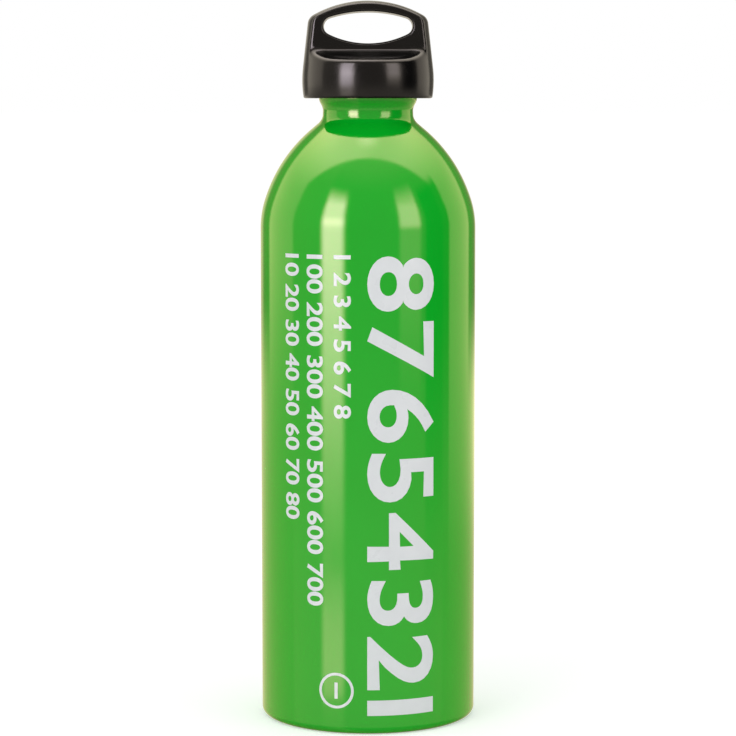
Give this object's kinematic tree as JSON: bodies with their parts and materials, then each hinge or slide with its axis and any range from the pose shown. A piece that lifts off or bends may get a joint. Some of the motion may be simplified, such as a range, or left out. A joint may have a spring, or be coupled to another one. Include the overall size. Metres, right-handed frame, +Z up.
{
  "type": "camping fuel bottle",
  "caption": "Slim aluminium liquid-fuel bottle with a sloping shoulder, and a push-and-turn screw cap with a carrying loop.",
  "frame": {"origin": "centre of the foot ring, on the surface that the bottle stands on", "axes": "+Z up along the bottle's axis, -Y towards the printed front, X along the carrying loop"},
  "size_m": [0.08, 0.08, 0.2668],
  "materials": {
    "painted_aluminium": "gloss green paint with white printing",
    "seal_rubber": "matt",
    "stopper_nylon": "matt moulded",
    "spring_steel": "bright wire",
    "cap_plastic": "satin moulded"
  },
  "bodies": {
    "bottle": {"bottle_body": "painted_aluminium"},
    "seal": {"seal_ring": "seal_rubber"},
    "stopper": {"stopper": "stopper_nylon"},
    "spring": {"lock_spring": "spring_steel"},
    "shell": {"cap_shell": "cap_plastic"}
  },
  "joints": [
    {"name": "cap_rise", "type": "slide", "parent": "bottle", "child": "seal", "axis": [0, 0, 1], "range_m": [0, 0.014]},
    {"name": "cap_turn", "type": "hinge", "parent": "seal", "child": "stopper", "pos_m": [0, 0, 0.23652], "axis": [0, 0, 1], "range_deg": [0, 1260]},
    {"name": "shell_idle_turn", "type": "hinge", "parent": "stopper", "child": "spring", "pos_m": [0, 0, 0.24252], "axis": [0, 0, 1], "continuous": true},
    {"name": "cap_press", "type": "slide", "parent": "spring", "child": "shell", "axis": [0, 0, 1], "range_m": [-0.0016, 0], "stiffness_N_per_m": 1500, "springref_m": 0.002, "deforming": ["lock_spring"]}
  ],
  "couplings": [
    {"joint": "cap_rise", "follows": "cap_turn", "m_per_rad": 0.00063662}
  ]
}
